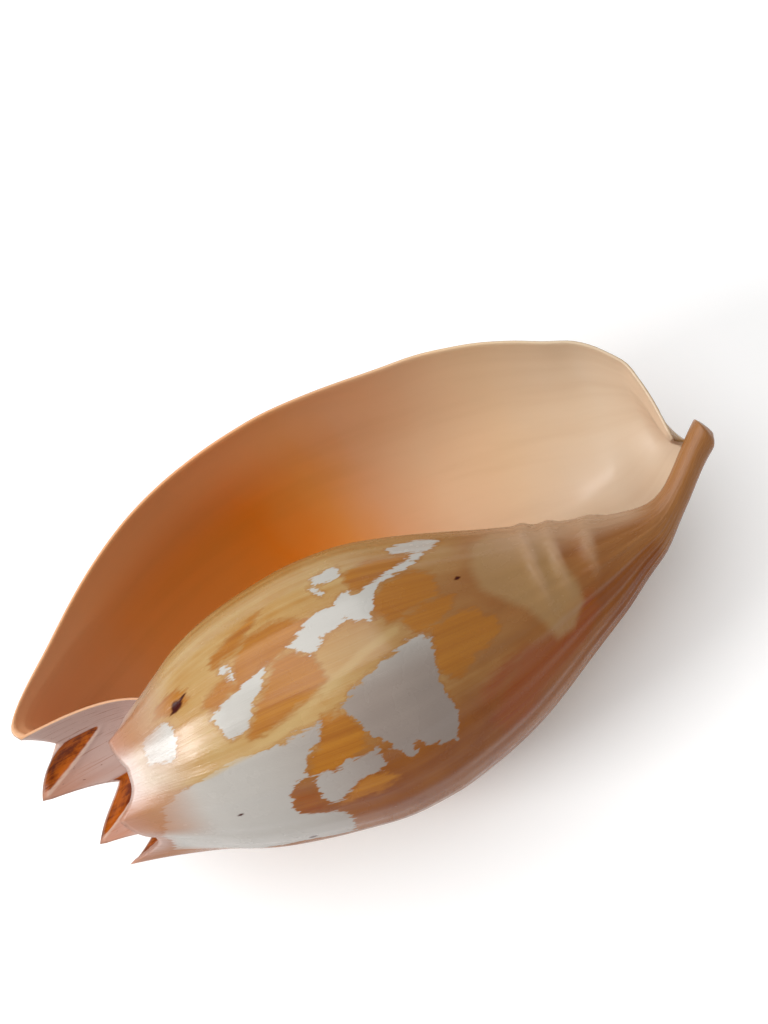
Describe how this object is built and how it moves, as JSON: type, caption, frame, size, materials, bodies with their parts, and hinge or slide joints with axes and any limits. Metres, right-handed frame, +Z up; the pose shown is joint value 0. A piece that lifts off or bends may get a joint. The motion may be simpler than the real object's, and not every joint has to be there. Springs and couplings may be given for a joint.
{
  "type": "conch shell",
  "caption": "Large thin-walled baler shell with a very wide aperture, a flared lip and a crown of hollow spines, lying on its back.",
  "frame": {"origin": "bottom centre of the bounding box, on the surface that the shell rests on", "axes": "+X along the coil axis towards the front end, -X towards the crown of spines, +Y towards the flared lip, +Z up, out of the aperture"},
  "size_m": [0.2576, 0.1338, 0.1063],
  "materials": {
    "shell": "glossy"
  },
  "bodies": {
    "root": {"shell": "shell"}
  },
  "joints": []
}
